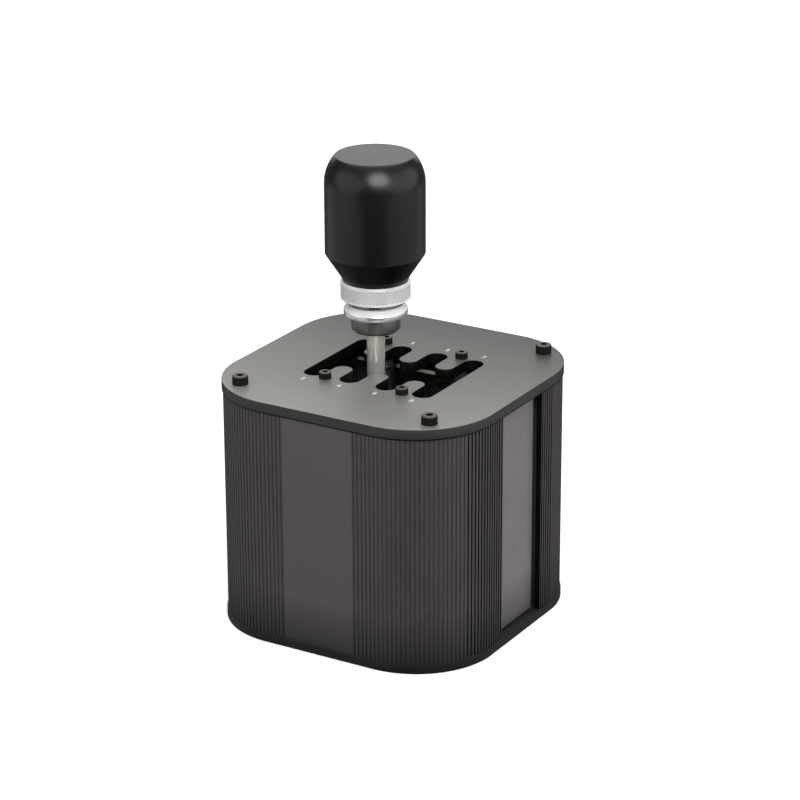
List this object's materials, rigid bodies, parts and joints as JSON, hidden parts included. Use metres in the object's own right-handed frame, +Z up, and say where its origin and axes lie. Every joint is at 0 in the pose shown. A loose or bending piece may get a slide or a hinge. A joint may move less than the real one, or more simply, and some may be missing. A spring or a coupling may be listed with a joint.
{
  "type": "h-pattern gear shifter",
  "caption": "Square fluted metal case with a slotted gate plate and an upright lever with a round knob; the lever slides sideways to pick a column and tilts fore and aft to pick a gear.",
  "frame": {"origin": "centre of the base plate's underside", "axes": "+Z up along the lever in neutral, -Y towards the driver, +X to the driver's right"},
  "size_m": [0.13, 0.13, 0.2083],
  "materials": {
    "shell_black": "dark anodised extrusion, satin",
    "plate_grey": "grey anodised, bead blasted",
    "panel_grey": "grey anodised, satin",
    "screw_black": "black oxide",
    "board_green": "green solder mask",
    "chip_black": "moulded",
    "socket_metal": "nickel plated",
    "pillar_aluminium": "turned",
    "block_grey": "dark anodised",
    "ground_steel": "ground",
    "spring_steel": "drawn wire",
    "bush_bronze": "sintered",
    "rod_stainless": "brushed stainless",
    "magnet_nickel": "nickel plated",
    "adapter_gunmetal": "gunmetal anodised",
    "collar_silver": "clear anodised, turned",
    "ring_silver": "clear anodised, knurled",
    "knob_black": "black anodised, satin"
  },
  "bodies": {
    "case": {"base_plate": "shell_black", "front_shell": "shell_black", "rear_shell": "shell_black", "left_side_panel": "panel_grey", "right_side_panel": "panel_grey", "top_plate": "plate_grey", "top_corner_screws": "screw_black", "gate_screws": "screw_black", "base_corner_screws": "screw_black", "pillar_screws": "screw_black", "block_screws": "screw_black", "control_board": "board_green", "gear_sensors": "chip_black", "controller_chip": "chip_black", "usb_socket": "socket_metal", "left_end_block": "block_grey", "right_end_block": "block_grey", "front_guide_rod": "ground_steel", "rear_guide_rod": "ground_steel", "rod_set_screws": "screw_black", "pillar_front_left": "pillar_aluminium", "pillar_front_right": "pillar_aluminium", "pillar_rear_left": "pillar_aluminium", "pillar_rear_right": "pillar_aluminium", "spacer_front_left": "pillar_aluminium", "spacer_front_right": "pillar_aluminium", "spacer_rear_left": "pillar_aluminium", "spacer_rear_right": "pillar_aluminium", "spring_front_left": "spring_steel", "spring_front_right": "spring_steel", "spring_rear_left": "spring_steel", "spring_rear_right": "spring_steel"},
    "carriage": {"carriage": "block_grey", "pivot_pin": "ground_steel", "pivot_circlips": "screw_black", "detent_plunger": "block_grey", "detent_spring": "spring_steel", "guide_bush_front_left": "bush_bronze", "guide_bush_front_right": "bush_bronze", "guide_bush_rear_left": "bush_bronze", "guide_bush_rear_right": "bush_bronze"},
    "lever": {"lever_hub": "block_grey", "hub_bush": "bush_bronze", "lever_rod": "rod_stainless", "rod_lock_nut": "ground_steel", "magnet_ring": "magnet_nickel", "adapter_collar": "adapter_gunmetal", "silver_collar": "collar_silver", "lock_ring": "ring_silver", "knob_insert": "bush_bronze", "knob_body": "knob_black"},
    "detent_ball": {"detent_ball": "ground_steel"}
  },
  "joints": [
    {"name": "select_slide", "type": "slide", "parent": "case", "child": "carriage", "axis": [1, 0, 0], "range_m": [-0.0183, 0.0366], "stiffness_N_per_m": 250, "deforming": ["spring_front_left", "spring_front_right", "spring_rear_left", "spring_rear_right"]},
    {"name": "shift_tilt", "type": "hinge", "parent": "carriage", "child": "lever", "pos_m": [-0.00915, 0, 0.034], "axis": [1, 0, 0], "range_deg": [-15, 15]},
    {"name": "detent_press", "type": "slide", "parent": "carriage", "child": "detent_ball", "axis": [0, 0, -1], "range_m": [0, 0.0015], "stiffness_N_per_m": 2000, "deforming": ["detent_spring"]}
  ]
}
